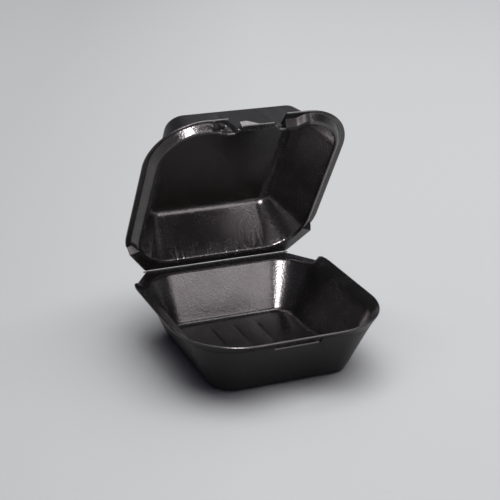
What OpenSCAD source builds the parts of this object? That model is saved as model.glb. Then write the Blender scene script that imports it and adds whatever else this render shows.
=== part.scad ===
// Foam clamshell food container, half open.
// A tray and a lid are pressed from one sheet of foam and fold at a crease along the back.
// The tray's rim flange slopes up and outwards. The lid's rim is a folded ridge that sits inside it,
// with a flange behind the ridge that comes down on the edge of the tray's.
// A tongue at the front of the lid is pushed into a slot in the tray's rim.
// The origin is the centre of the tray's flat bottom, +Z is up and the latch faces -Y.

/* [Sheet] */
// Thickness of the foam
sheet_t = 2; // [1.5:0.1:2.6]
// Gap between the lid and the tray when the container is closed
nest_gap = 0.4; // [0.3:0.05:0.8]

/* [Tray] */
// Width of the tray's floor, measured to its wall lines
floor_w = 96; // [88:1:106]
// Depth of the tray's floor, front to back
floor_d = 101; // [94:1:108]
// Height of the crease and of the opening's edge above the table
tray_h = 38; // [32:1:48]
// Corner radius of the floor
floor_r = 14; // [10:1:20]
// Radius inside the tray between its floor and its walls
floor_fillet = 5; // [3:0.5:8]

/* [Rim] */
// Width of the tray's opening
rim_w = 130; // [122:1:138]
// Depth of the tray's opening, front to back
rim_d = 129.8; // [122:0.2:136]
// How far the opening's centre lies in front of the floor's
rim_forward = 1; // [0:0.1:3]
// Corner radius of the opening
rim_r = 29; // [22:1:32]
// Radius on the edge between a wall and the flange
rim_round = 3.2; // [2.8:0.1:4.5]
// How far the tray's flange reaches out from the opening at the sides
flange_w = 8.8; // [6:0.1:11]
// How far it reaches out at the front
front_w = 6.8; // [5:0.1:9]
// Slope of the tray's flange at the sides, in degrees
flange_slope = 28; // [18:1:34]
// Corner radius of the trimmed edge at the tray's front corners
trim_r = 45; // [38:1:52]
// How far the flange's back ends stop in front of the crease
flange_stop = 28; // [24:1:36]
// Radius on the outer corner of each back end of the flange
flange_end_r = 2; // [1:0.5:5]

/* [Crease] */
// Width of the flat strip between the opening and the crease
strip_w = 8; // [6:0.5:12]
// Length of the crease
crease_len = 116; // [104:1:124]
// Diameter of the rolled bead that the crease leaves
crease_d = 1.8; // [1.4:0.1:2.4]
// Length of the straight trim at each end of the crease
crease_end = 4; // [2:0.5:8]
// How far each flat back corner reaches out past the opening
corner_out = 5.5; // [3:0.5:8]
// How far the slanted trim of a back corner ends in front of the crease
corner_stop = 21.5; // [16:0.5:23]

/* [Lid] */
// How far the lid stands open, in degrees
lid_open = 61; // [0:1:180]
// Width of the lid's panel inside, measured to its wall lines
panel_w = 93; // [84:1:102]
// Depth of the lid's panel inside, front to back
panel_d = 96; // [88:1:102]
// How far the panel's centre lies behind the opening's centre
panel_back = 2; // [0:0.1:4]
// Height of the lid above the crease when closed
lid_h = 37.8; // [30:0.1:38]
// Corner radius of the panel
panel_r = 9; // [6:1:16]
// Radius inside the lid between its panel and its walls
panel_fillet = 4; // [2.5:0.5:7]
// Width of the crest of the folded ridge round the lid's opening
ridge_w = 2.4; // [2.3:0.1:4]
// How far the ridge stands out from the lid's flange
ridge_h = 5; // [4:0.1:7]
// Radius on the ridge's two edges
ridge_r = 2; // [1.2:0.1:2]
// Lean of the ridge's sloped outer side, in degrees
ridge_lean = 35; // [20:1:45]
// How far the ridge lies back from the flat strip at the crease
ridge_back = 0.5; // [0.3:0.1:1]
// Radius where the ridge meets the flange
ridge_foot_r = 0.8; // [0.4:0.1:1.2]
// How far the lid's flange ends short of the tray's
flange_short = 0.2; // [0:0.1:2]
// Corner radius of the trimmed edge at the lid's front corners
lid_trim_r = 38; // [34:1:46]

/* [Latch] */
// Width of the tongue on the lid
tongue_w = 25; // [18:1:28]
// How far the tongue reaches out from the lid's opening
tongue_out = 5; // [4.7:0.1:6.5]
// Corner radius of the tongue
tongue_r = 1; // [0.5:0.1:1.5]
// Width of the notch on each side of the tongue
notch_w = 8.5; // [6:0.5:12]
// How far the lid's rim steps inwards at the notches
notch_step = 3.4; // [2:0.1:5]
// How far each inward step of the rim runs on past its notch
step_past = 10; // [4:0.5:11]
// Length over which the rim steps inwards
step_run = 2.5; // [1.5:0.1:3]
// How much wider the slot in the tray's rim is than the tongue
slot_spare = 8; // [4:1:12]
// How far the slot reaches down below the opening's edge
slot_deep = 4.5; // [2.5:0.1:6]
// Corner radius of the slot
slot_r = 1.2; // [0.6:0.1:2]

/* [Floor grooves] */
// Number of grooves pressed into the tray's floor
groove_n = 3; // [1:1:5]
// Distance between grooves
groove_pitch = 17.5; // [12:0.5:20]
// Length of each groove
groove_len = 74; // [40:1:80]
// Width of each groove
groove_w = 1.6; // [1:0.1:2.4]
// Depth of each groove
groove_deep = 0.6; // [0.3:0.1:1]

/* [Hidden] */
foam = [0.13, 0.13, 0.135];
arc_steps = 10;
bend_steps = 5;
step_a = 0.5;                               // the flange's back end is a step this many degrees to each side
cut = 1;                                    // how far cutting shapes run past a surface
rim_front = rim_d / 2 + rim_forward;        // the opening's front edge lies at y = -rim_front
rim_back = rim_d / 2 - rim_forward;
hinge_y = rim_back + strip_w;               // the crease runs along X at this y, at z = tray_h
flange_rise = flange_w * tan(flange_slope);
web_z = nest_gap / 2;                       // the flat strips lie this far off the crease plane
ridge_z = web_z + ridge_back;
ridge_mid = ridge_w - ridge_r * tan(45 - ridge_lean / 2);

// How far the lid's opening lies inside the tray's, so that the ridge clears the sloped flange.
rim_lap = ridge_mid + (ridge_r + nest_gap - (ridge_r + ridge_z) * cos(flange_slope)) / sin(flange_slope);
notch_end = tongue_w / 2 + notch_w;         // from the middle of the latch to a notch's outer end
slot_w = tongue_w + slot_spare;
slot_top = (tongue_out - rim_lap + 2 * nest_gap) * flange_rise / front_w;
strip_end = crease_d / 2 + nest_gap;        // the lid's strip stops this far from the axis

// A section runs through points [offset, height, heading]. Offsets are measured outward from the
// opening's edge, heights from the panel's outer face, and a heading of 0 points outward.
function along(b) = [cos(b), sin(b)];
function aside(b) = [sin(b), -cos(b)];

// Where the line through p with heading a meets the line through q with heading b.
function meet(p, a, q, b) = p + along(a) * cross(q - p, along(b)) / cross(along(a), along(b));

// The rounded corner between those two lines.
function bend(p, a, q, b, r) = let (
        v = meet(p, a, q, b) - along(a) * r * tan(abs(b - a) / 2),
        turn = b > a ? r : -r)
    [for (i = [0 : bend_steps]) let (c = a + (b - a) * i / bend_steps)
        [v[0] + turn * (sin(c) - sin(a)), v[1] + turn * (cos(a) - cos(c)), c]];

function other_face(points) = [for (p = points) [each [p[0], p[1]] + sheet_t * aside(p[2]), p[2]]];

function wall_heading(taper, height) = atan2(height - sheet_t, taper);

// The foot of the wall, on the inner face.
function foot(taper, height, fillet) =
    bend([-taper, sheet_t], 0, [-taper, sheet_t], wall_heading(taper, height), fillet);

// A plain rim: the wall turns into a flange or a flat strip that leaves the opening's edge.
function plain_rim(taper, height, fillet, slope, reach) = let (
        up = wall_heading(taper, height),
        face = concat(foot(taper, height, fillet), bend([0, height], up, [0, height], slope, rim_round)),
        end = [each [0, height] + along(slope) * reach / cos(slope), slope])
    [concat(face, [end]), concat(other_face(face), other_face([end]))];

// The lid's rim: the wall, a folded ridge, and the flange behind it. The ridge is solid.
function ridge_rim(taper, height, fillet, end) = let (
        up = wall_heading(taper, height),
        down = -90 + ridge_lean,
        root = meet([ridge_w, height], down, [0, height - ridge_h], 0),
        slope = atan2(end[1] - root[1], end[0] - root[0]),
        tip = [each end, slope],
        under = end + sheet_t * aside(slope),
        wall = [-taper, sheet_t] + sheet_t * aside(up),
        face = concat(foot(taper, height, fillet),
            bend([0, height], up, [0, height], 0, ridge_r),
            bend([0, height], 0, [ridge_w, height], down, ridge_r),
            bend(root, down, root, slope, ridge_foot_r)),
        back = concat(other_face(foot(taper, height, fillet)), bend(wall, up, under, slope, ridge_r)))
    [concat(face, [tip]), concat(back, other_face([tip]))];

// The same wall where the rim is a flat strip, with as many points as the ridge has.
function strip_rim(taper, height, fillet) = let (
        up = wall_heading(taper, height),
        wall = [-taper, sheet_t] + sheet_t * aside(up),
        far = ridge_r * tan(up / 2),
        more = 2 * bend_steps + 2,
        face = concat(foot(taper, height, fillet), bend([0, height], up, [0, height], 0, ridge_r),
            [for (i = [1 : more]) [far + (ridge_w - far) * i / more, height, 0]]),
        back = concat(other_face(foot(taper, height, fillet)),
            bend(wall, up, [0, height - sheet_t], 0, ridge_r)))
    [concat(face, [[ridge_w, height, 0]]), concat(back, [[ridge_w, height - sheet_t, 0]])];

function sorted(v) = len(v) <= 1 ? v : let (rest = [for (i = [1 : len(v) - 1]) v[i]])
    concat(sorted([for (x = rest) if (x < v[0]) x]), [v[0]], sorted([for (x = rest) if (x >= v[0]) x]));

function mirrored(angles) = [for (i = [len(angles) - 1 : -1 : 0]) 180 - angles[i]];

// Distance from p along direction d to the die-cut outline of the flat corners and the strip.
function to_trim(p, d, strip_stop) = let (
        a = [crease_len / 2, hinge_y - crease_end],
        b = [rim_w / 2 + corner_out, hinge_y - corner_stop],
        n = [a[1] - b[1], b[0] - a[0]],
        end = (a[0] - p[0]) / max(d[0], 0.001),
        lines = [[[0, 1], hinge_y - strip_stop], [n, n * a], [[1, 0], b[0]]])
    min(concat([for (line = lines) if (line[0] * d > 0.001) (line[1] - line[0] * p) / (line[0] * d)],
        p[1] + d[1] * end > a[1] ? [end] : []));

// One pressed shell with its rim, opening upward, from one closed section swept round the opening.
// opening = [half width, front, back], and taper = [side, front, back] is how far each wall leans in.
// rim and strip are the section as [inner face, outer face], with the flange and with the flat strip.
// The flange ends at edge = [half width, front], with the corner radius trim at the front.
// latch lists [x, inset] along the front edge: how far the opening steps inwards there.
module pressed_shell(opening, taper, mean, radii, rim, strip, edge, trim, strip_stop, latch = []) {
    reach = rim[0][len(rim[0]) - 1][0];
    corner_y = opening[2] - radii[0];
    stop_a = asin(max(-0.9, min(0.9, (hinge_y - flange_stop - corner_y) / radii[0])));
    step = 90 / arc_steps;
    corners = [[crease_len / 2, hinge_y], [crease_len / 2, hinge_y - crease_end],
        [rim_w / 2 + corner_out, hinge_y - corner_stop]];
    corner_a = [for (v = corners) atan2(v[1] - corner_y, v[0] - opening[0] + radii[0])];
    end_turn = flange_end_r / (radii[0] + reach) * 180 / PI;
    end_a = [for (q = [0 : 30 : 90]) stop_a - step_a - end_turn * (1 - cos(q))];
    even_a = [for (i = [0 : arc_steps]) i * step];
    back_a = sorted(concat([for (a = even_a) if (a < end_a[3] - 2 * step_a || a > stop_a + 4 * step_a) a],
        end_a, [stop_a + step_a],
        [for (a = corner_a) if (a > stop_a + 1.2 * step_a && a < 90 - 2 * step_a) a]));

    // A station is [angle, side of its corner in x, in y, inset]. At the latch, which lies on the straight
    // front edge, the side in x is the part of that edge's half length.
    around = concat([for (a = back_a) [a, 1, 1, 0]], [for (a = mirrored(back_a)) [a, -1, 1, 0]],
        [for (i = [0 : arc_steps]) [180 + i * step, -1, -1, 0]],
        [for (p = latch) [270, p[0] / (opening[0] - radii[0]), -1, p[1]]],
        [for (i = [0 : arc_steps]) [270 + i * step, 1, -1, 0]]);
    function is_flat(s) = s[2] > 0 && s[0] > stop_a && s[0] < 180 - stop_a;

    // A point of the ring at offset o and height z. An inset fades out down the wall.
    function scaled(o, k) = o < 0 ? o * k / mean : o;
    function ring_point(s, o, z) = let (
            r = radii[0] + scaled(o, radii[0] - radii[1]),
            x = opening[0] + scaled(o, taper[0]),
            y = s[2] < 0 ? opening[1] + scaled(o, taper[1]) : opening[2] + scaled(o, taper[2]))
        [s[1] * (x - r) + r * cos(s[0]),
            s[2] * (y - r) + r * sin(s[0]) + s[3] * max(0, 1 + min(o, 0) / mean), z];

    // How far the flange reaches at a station: less at its rounded back ends, and at the front out to
    // the trimmed edge.
    function side_reach(s) = let (a = 90 - abs(90 - s[0]),
            from_end = max(0, min(1, (stop_a - step_a - a) * PI / 180 * (radii[0] + reach) / flange_end_r)))
        reach - flange_end_r * (1 - sqrt(1 - (1 - from_end) * (1 - from_end)));
    function front_reach(s) = let (
            to = edge - [trim, trim] - [opening[0] - radii[0], opening[1] - radii[0]],
            k = to * [abs(cos(s[0])), abs(sin(s[0]))])
        s[3] > 0 || abs(s[1]) < 1 ? edge[1] - opening[1] : k + sqrt(k * k - to * to + trim * trim) - radii[0];

    // The ends of the section: the flange's edge, or the flat strip out to the trim.
    function end_point(s, p) = is_flat(s)
        ? let (c = ring_point(s, 0, 0), q = [abs(c[0]), c[1]], d = [abs(cos(s[0])), sin(s[0])],
               e = q + d * to_trim(q, d, strip_stop))
            [sign(c[0]) * e[0], e[1], p[1]]
        : let (far = s[2] < 0 ? front_reach(s) : side_reach(s), c = ring_point(s, far + p[0] - reach, 0))
            [c[0], c[1] - s[3], p[1]];

    function section(s) = is_flat(s) ? strip : rim;
    function ring(side, k) = [for (s = around) let (p = section(s)[side][k]) ring_point(s, p[0], p[1])];
    rings = concat([for (k = [0 : len(rim[1]) - 2]) ring(1, k)],
        [for (side = [1, 0]) [for (s = around) end_point(s, section(s)[side][len(rim[side]) - 1])]],
        [for (k = [len(rim[0]) - 2 : -1 : 0]) ring(0, k)]);
    n = len(around);
    m = len(rings);
    polyhedron(points = [for (ring = rings) each ring],
        faces = concat([[for (i = [0 : n - 1]) i]],
            [[for (i = [n - 1 : -1 : 0]) (m - 1) * n + i]],
            [for (k = [0 : m - 2]) for (i = [0 : n - 1]) let (j = (i + 1) % n)
                each [[k * n + i, k * n + n + i, k * n + n + j], [k * n + i, k * n + n + j, k * n + j]]]));
}

// A rectangle with round corners.
module rounded(size, r) {
    square([size[0] - 2 * r, size[1]], center = true);
    square([size[0], size[1] - 2 * r], center = true);
    for (x = [-1, 1]) for (y = [-1, 1]) translate([x * (size[0] / 2 - r), y * (size[1] / 2 - r)])
        circle(r, $fn = 32);
}

module floor_grooves() {
    for (i = [0 : groove_n - 1]) translate([(i - (groove_n - 1) / 2) * groove_pitch, 0, sheet_t])
        linear_extrude(groove_deep * 2, center = true) rounded([groove_w, groove_len], groove_w * 0.49);
}

// The slot for the tongue, cut through the top of the front wall and the foot of the flange.
module latch_slot() {
    translate([0, -rim_front, tray_h + (slot_top - slot_deep) / 2]) rotate([90, 0, 0])
        linear_extrude(4 * flange_w, center = true) rounded([slot_w, slot_top + slot_deep], slot_r);
}

module tray() {
    taper = [(rim_w - floor_w) / 2, rim_front - floor_d / 2, rim_back - floor_d / 2];
    mean = (taper[0] * 2 + taper[1] + taper[2]) / 4;
    color(foam) difference() {
        union() {
            pressed_shell([rim_w / 2, rim_front, rim_back], taper, mean, [rim_r, floor_r],
                plain_rim(mean, tray_h, floor_fillet, flange_slope, flange_w),
                plain_rim(mean, tray_h - web_z, floor_fillet, 0, flange_w),
                [rim_w / 2 + flange_w, rim_front + front_w], trim_r, 0);
            translate([0, hinge_y, tray_h]) rotate([0, 90, 0])
                cylinder(h = crease_len, d = crease_d, center = true, $fn = 32);
        }
        floor_grooves();
        latch_slot();
    }
}

// What is cut from the lid's front flange: a notch on each side of the tongue, and what lies past it.
module latch_cut(front, near) {
    ridge = front + ridge_w + sheet_t / 4;
    far = rim_front + front_w + cut;
    for (part = [[near, notch_end, ridge - notch_step], [0, near, ridge]]) for (side = [-1, 1])
        translate([side * (part[0] + part[1]) / 2, -(far + part[2]) / 2, -ridge_h])
            cube([part[1] - part[0], far - part[2], 2 * (ridge_h + sheet_t)], center = true);
}

// The lid, closed and upside down: its opening faces up and the crease's axis is y = hinge_y, z = 0.
module lid_shell() {
    opening = [rim_w / 2 - rim_lap, rim_front - rim_lap, rim_back];
    taper = [opening[0] - panel_w / 2, opening[1] - panel_d / 2 + panel_back,
        opening[2] - panel_d / 2 - panel_back];
    mean = (taper[0] * 2 + taper[1] + taper[2]) / 4;
    reach = rim_lap + flange_w - flange_short;
    seat = flange_rise + nest_gap;
    near = tongue_w / 2 + tongue_r;
    far = notch_end + step_past;
    root = ridge_w / 2;
    translate([0, -opening[1] - (tongue_out + root) / 2, -ridge_z - sheet_t])
        linear_extrude(sheet_t) rounded([tongue_w, tongue_out - root], tongue_r);
    difference() {
        translate([0, 0, -lid_h]) pressed_shell(opening, taper, mean, [rim_r - rim_lap, panel_r],
            ridge_rim(mean, lid_h - ridge_z, panel_fillet, [reach, lid_h - seat]),
            strip_rim(mean, lid_h - web_z, panel_fillet),
            [rim_w / 2 + flange_w - flange_short, rim_front + front_w - flange_short], lid_trim_r, strip_end,
            [[-far - step_run, 0], [-far, notch_step], [-near - step_run, notch_step], [-near, 0],
                [near, 0], [near + step_run, notch_step], [far, notch_step], [far + step_run, 0]]);
        latch_cut(opening[1], near);
    }
}

module lid() {
    color(foam) translate([0, hinge_y, tray_h]) rotate([-lid_open, 0, 0]) translate([0, -hinge_y, 0])
        mirror([0, 0, 1]) lid_shell();
}

tray();
lid();
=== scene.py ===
# %% [markdown]
# A black foam food container stands half open on a pale table. It is pressed from one sheet of foam, so it
# has two shells, the tray and the lid, that fold at one crease. This lesson rebuilds both shells as fine
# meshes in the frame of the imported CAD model, gives them a satin foam skin, and lights them as the
# photograph does.

# %% The frame
import math
from types import SimpleNamespace
import bmesh
import bpy
import numpy as np
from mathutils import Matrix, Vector


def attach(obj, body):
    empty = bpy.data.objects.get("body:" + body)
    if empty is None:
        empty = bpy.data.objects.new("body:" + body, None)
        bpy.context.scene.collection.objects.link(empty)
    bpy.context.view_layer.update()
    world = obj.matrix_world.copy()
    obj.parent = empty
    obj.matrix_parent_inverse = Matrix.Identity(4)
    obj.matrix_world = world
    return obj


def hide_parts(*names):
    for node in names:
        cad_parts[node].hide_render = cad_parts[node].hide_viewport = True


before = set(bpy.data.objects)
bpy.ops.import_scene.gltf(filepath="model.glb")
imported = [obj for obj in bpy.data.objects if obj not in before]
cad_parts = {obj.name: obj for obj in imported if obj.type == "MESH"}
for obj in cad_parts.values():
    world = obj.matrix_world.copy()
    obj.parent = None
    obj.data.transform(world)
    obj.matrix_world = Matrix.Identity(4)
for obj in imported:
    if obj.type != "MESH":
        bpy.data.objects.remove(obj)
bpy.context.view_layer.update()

# %% [markdown]
# The sizes are in millimetres. Most are the same as in the CAD source, and a few, such as the thinner bead
# and the pinched edges, are the scene's own. A container like this could be sculpted freely, but its lid
# has to close on its tray, so both shells follow these values.

# %% Tray sizes
MM = 0.001
SHEET = 2.0
EDGE_T = 1.2
EDGE_R = 0.45
NEST_GAP = 0.4
WEB_Z = NEST_GAP / 2
TRAY_H = 38.0
FLOOR_W = 96.0
FLOOR_D = 101.0
FLOOR_R = 14.0
FLOOR_FILLET = 5.0
RIM_W = 130.0
RIM_FRONT = 65.9
RIM_BACK = 63.9
RIM_R = 29.0
RIM_ROUND = 3.2
FLANGE_W = 8.8
FRONT_W = 6.8
FLANGE_SLOPE = math.radians(28)
FLANGE_RISE = FLANGE_W * math.tan(FLANGE_SLOPE)
FLANGE_STOP = 28.0
FLANGE_END_R = 2.0
TRAY_TRIM_R = 45.0
STRIP_W = 8.0
HINGE_Y = RIM_BACK + STRIP_W
CREASE_LEN = 116.0
CREASE_END = 4.0
CORNER_OUT = 5.5
CORNER_STOP = 21.5
BEAD_R = 0.55
print(f"tray: {RIM_W + 2 * FLANGE_W:.1f} mm wide, crease {HINGE_Y:.1f} mm behind the middle")

# %% [markdown]
# The lid is about as deep as the tray, and a folded ridge runs round its opening. When the lid is closed,
# the ridge sits inside the tray's rim. How much smaller that makes the lid's opening could be measured on
# the CAD model, but worked out from the slopes it stays right when a slope changes.

# %% Lid sizes
LID_OPEN = math.radians(61)
LID_H = 37.8
PANEL_W = 93.0
PANEL_D = 96.0
PANEL_BACK = 2.0
PANEL_R = 9.0
PANEL_FILLET = 4.0
PANEL_SOFT = 8.0
STRIP_SOFT = 3.0
RIDGE_W = 2.4
RIDGE_H = 5.0
RIDGE_R = 2.0
RIDGE_LEAN = math.radians(35)
RIDGE_Z = WEB_Z + 0.5
RIDGE_FOOT_R = 0.8
FLANGE_SHORT = 0.2
LID_TRIM_R = 38.0
LID_END_R = 0.5
RIDGE_MID = RIDGE_W - RIDGE_R * math.tan(math.pi / 4 - RIDGE_LEAN / 2)
RIDGE_SINK = (RIDGE_R + RIDGE_Z) * math.cos(FLANGE_SLOPE)
RIM_LAP = RIDGE_MID + (RIDGE_R + NEST_GAP - RIDGE_SINK) / math.sin(FLANGE_SLOPE)
print(f"the lid's opening lies {RIM_LAP:.2f} mm inside the tray's")

# %% [markdown]
# The latch is a tongue on the lid, between two notches, and a slot in the tray that takes it. Beside the
# tongue the ridge is pushed in, and that step fades out down the wall. These values could sit with the two
# shells, but the tongue and the slot have to fit each other, so they are kept together.

# %% Latch sizes
TONGUE_W = 25.0
TONGUE_OUT = 5.0
TONGUE_R = 1.0
NOTCH_W = 8.5
NOTCH_END = TONGUE_W / 2 + NOTCH_W
NOTCH_STEP = 3.4
STEP_NEAR = TONGUE_W / 2 + TONGUE_R
STEP_FAR = NOTCH_END + 10.0
STEP_RUN = 2.5
INSET_FADE = 0.45
SLOT_W = TONGUE_W + 8.0
SLOT_DEEP = 4.5
SLOT_TOP = (TONGUE_OUT - RIM_LAP + 2 * NEST_GAP) * FLANGE_RISE / FRONT_W
SLOT_PINCH = 0.5
print(f"slot: {SLOT_W:.1f} mm wide and {SLOT_TOP + SLOT_DEEP:.1f} mm high")

# %% [markdown]
# A pressed shell is one section carried round the opening: floor, foot, leaning wall, rim, trimmed edge,
# and back along the other face. The section is a list of rows. A "body" row has an offset from the
# opening's edge and a height, an "end" row is measured from the trimmed edge, and a "mid" row lies between
# its neighbours. Rows could also be drawn by hand as a curve, but bends worked out from lines keep the
# sheet's thickness true.

# %% Section rows
BEND_STEPS = 8
BEND_ROWS = BEND_STEPS + 1
EDGE_STEPS = 3
EDGE_ROWS = 2 * (EDGE_STEPS + 1)


def along(b):
    return np.array([math.cos(b), math.sin(b)])


def aside(b):
    return np.array([math.sin(b), -math.cos(b)])


def cross(p, q):
    return p[0] * q[1] - p[1] * q[0]


def meet(p, a, q, b):
    """Where the line through p with heading a meets the line through q with heading b."""
    return p + along(a) * cross(q - p, along(b)) / cross(along(a), along(b))


def bend(p, a, q, b, r, steps=BEND_STEPS):
    """The rounded corner between those two lines, as points [offset, height, heading]."""
    v = meet(p, a, q, b) - along(a) * r * math.tan(abs(b - a) / 2)
    turn = r if b > a else -r
    headings = [a + (b - a) * i / steps for i in range(steps + 1)]
    return [(v[0] + turn * (math.sin(c) - math.sin(a)), v[1] + turn * (math.cos(a) - math.cos(c)), c)
            for c in headings]


def other_face(points):
    return [(*(np.array(p[:2]) + SHEET * aside(p[2])), p[2]) for p in points]


def rows(points):
    return [("body", p[0], p[1]) for p in points]


def mids(shares):
    """Rows between their neighbours, each at its share of the way."""
    return [("mid", share, 0) for share in shares]


def even_mids(count):
    return mids([(i + 1) / (count + 1) for i in range(count)])


def trimmed_edge(end, slope):
    """The edge at `end`, pinched thinner by the cut, with both its corners slightly rounded."""
    under = end + EDGE_T * aside(slope)
    down = slope - math.pi / 2
    points = bend(end, slope, end, down, EDGE_R, EDGE_STEPS)
    points += bend(under, down, under, slope - math.pi, EDGE_R, EDGE_STEPS)
    return [("end", p[0] - end[0], p[1]) for p in points]


print("rows in a bend:", BEND_ROWS, "and in a trimmed edge:", EDGE_ROWS)

# %% [markdown]
# The die trims the pressed sheet to an outline. In front it is a rectangle with rounded corners. At the
# back two slanted cuts lead from the flat corners to the ends of the crease. The outline could be cut with
# a boolean, but a ray from the opening to the outline gives the rim's reach at each place, and the edge
# can stay round.

# %% Trimmed outline
ALMOST_LEVEL = 0.001
NEVER = 1e9


def die_cut(p, d, strip_stop):
    """Distance from p along d to the outline of the flat back corners and of the strip at the crease."""
    a = np.array([CREASE_LEN / 2, HINGE_Y - CREASE_END])
    b = np.array([RIM_W / 2 + CORNER_OUT, HINGE_Y - CORNER_STOP])
    slant = np.array([a[1] - b[1], b[0] - a[0]])
    lines = [(np.array([0, 1]), HINGE_Y - strip_stop), (slant, slant @ a), (np.array([1, 0]), b[0])]
    hits = [(c - n @ p) / (n @ d) for n, c in lines if n @ d > ALMOST_LEVEL]
    end = (a[0] - p[0]) / max(d[0], ALMOST_LEVEL)
    return min(hits + ([end] if p[1] + d[1] * end > a[1] else []))


def front_trim(p, d, edge, r):
    """Distance from p along d to the flange's outline, a rectangle `edge` with the corner radius r."""
    side = (edge[0] - p[0]) / d[0] if d[0] > ALMOST_LEVEL else NEVER
    front = (edge[1] - p[1]) / d[1] if d[1] > ALMOST_LEVEL else NEVER
    if p[1] + d[1] * side <= edge[1] - r:
        return side
    if p[0] + d[0] * front <= edge[0] - r:
        return front
    q = p - np.array([edge[0] - r, edge[1] - r])
    return -(q @ d) + math.sqrt((q @ d) ** 2 - q @ q + r * r)


middle_reach = die_cut(np.array([0.0, RIM_BACK]), np.array([0.0, 1.0]), 0.0)
print(f"the strip reaches {middle_reach:.1f} mm from the opening to the crease")

# %% [markdown]
# A station is one place round the opening: an angle on a corner, or a share of a straight side. At every
# station the rows become points. Stations could be spaced evenly, but they lie closer where the flange
# ends and the flat corners begin, so that those edges come out sharp.

# %% Stations
CORNER_STEPS = 26
END_STEPS = 5
SIDE_STEP = 3.0
STRIP_STEP = 0.7
FRONT = 1.5 * math.pi
FLANGE, STRIP, NOTCH, TONGUE = range(4)


def corner_angles(opening, corner_r, turn):
    """Angles on a back corner, and where its flange ends. `turn`: degrees from the stop to either end."""
    half, _, back = opening
    corner_y = back - corner_r
    stop = math.asin((HINGE_Y - FLANGE_STOP - corner_y) / corner_r)
    flange_end, strip_start = stop - math.radians(turn[0]), stop + math.radians(turn[1])
    marks = [(CREASE_LEN / 2, HINGE_Y), (CREASE_LEN / 2, HINGE_Y - CREASE_END),
             (RIM_W / 2 + CORNER_OUT, HINGE_Y - CORNER_STOP)]
    marks = [math.atan2(y - corner_y, x - half + corner_r) for x, y in marks]
    round_a = FLANGE_END_R / (corner_r + FLANGE_W)
    ends = [flange_end - round_a * (1 - math.cos(q)) for q in np.linspace(0, math.pi / 2, END_STEPS)]
    even = [a for a in np.linspace(0, math.pi / 2, CORNER_STEPS) if a < ends[-1] or a > strip_start]
    near = [strip_start] + [m for m in marks if strip_start < m < math.pi / 2]
    return sorted(even + ends + near), flange_end, strip_start


def shell_stations(opening, corner_r, front, turn):
    """Stations [angle, share in x, share in y, kind, inset] once round, from the right side to the right."""
    angles, flange_end, strip_start = corner_angles(opening, corner_r, turn)
    corner = [(a, 1, 1, STRIP if a >= strip_start else FLANGE, 0) for a in angles]
    sides = np.linspace(1, -1, round((opening[1] + opening[2]) / SIDE_STEP))[1:-1]
    strip = np.linspace(1, -1, round(2 * opening[0] / STRIP_STEP))[1:-1]
    sweep = np.linspace(0, math.pi / 2, CORNER_STEPS)
    stations = corner + [(math.pi / 2, u, 1, STRIP, 0) for u in strip]
    stations += [(math.pi - a, -1, 1, kind, 0) for a, _, _, kind, _ in reversed(corner)]
    stations += [(math.pi, -1, v, FLANGE, 0) for v in sides]
    stations += [(math.pi + a, -1, -1, FLANGE, 0) for a in sweep]
    stations += [(FRONT, x / (opening[0] - corner_r), -1, kind, inset) for x, kind, inset in front]
    stations += [(FRONT + a, 1, -1, FLANGE, 0) for a in sweep]
    stations += [(2 * math.pi, 1, -v, FLANGE, 0) for v in sides]
    return stations, flange_end


print("stations on a front corner:", CORNER_STEPS)

# %% [markdown]
# The sweep puts every row at every station into one grid of points. Wall offsets are scaled so that each
# wall leans from the opening to its own side of the floor. Blender's own curve bevel could sweep a
# section, but it can't change the section or its reach on the way, as the press does at the latch and at
# the crease.

# %% The sweep
def mean_taper(taper):
    return (2 * taper[0] + taper[1] + taper[2]) / 4


def place(shape, station, o, z):
    """The point at a station of a row with offset o and height z."""
    a, u, v, _, inset = station
    mean = mean_taper(shape.taper)

    def scaled(k):
        return o * k / mean if o < 0 else o

    r = shape.radii[0] + scaled(shape.radii[0] - shape.radii[1])
    x = shape.opening[0] + scaled(shape.taper[0])
    y = shape.opening[1] + scaled(shape.taper[1]) if v < 0 else shape.opening[2] + scaled(shape.taper[2])
    kept = max(0, 1 + min(o, 0) / (INSET_FADE * mean))
    return np.array([u * (x - r) + r * math.cos(a), v * (y - r) + r * math.sin(a) + inset * kept, z])


def reach_at(shape, station):
    """How far the rim reaches outwards at a station before it is trimmed."""
    a, _, v, kind, _ = station
    p = np.abs(place(shape, station, 0, 0)[:2])
    d = np.array([abs(math.cos(a)), abs(math.sin(a))])
    if kind == STRIP:
        return die_cut(p, d, shape.strip_stop)
    if kind == NOTCH:
        return 0
    if kind == TONGUE:
        past = max(0, p[0] - TONGUE_W / 2 + TONGUE_R)
        return TONGUE_OUT - TONGUE_R + math.sqrt(TONGUE_R ** 2 - past ** 2)
    if v < 0:
        return front_trim(p, d, shape.edge, shape.trim_r)
    left = (shape.flange_end - min(a % (2 * math.pi), abs(math.pi - a))) * (shape.radii[0] + shape.reach)
    share = 1 - min(1, max(0, left / shape.end_r))
    return shape.reach - shape.end_r * (1 - math.sqrt(1 - share * share))


def swept_shell(sections, stations, shape):
    """The grid of points, row by row and station by station, with the shell's opening facing up."""
    count = len(sections[FLANGE])
    grid = np.zeros((count, len(stations), 3))
    for i, station in enumerate(stations):
        section = sections[station[3]]
        far = reach_at(shape, station)
        for k, (kind, o, h) in enumerate(section):
            if kind != "mid":
                grid[k, i] = place(shape, station, o if kind == "body" else far + o, h)
        for k, (kind, share, _) in enumerate(section):
            if kind == "mid":
                low = max(j for j in range(k) if section[j][0] != "mid")
                high = min(j for j in range(k, count) if section[j][0] != "mid")
                grid[k, i] = grid[low, i] + (grid[high, i] - grid[low, i]) * share
    return grid


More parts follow.
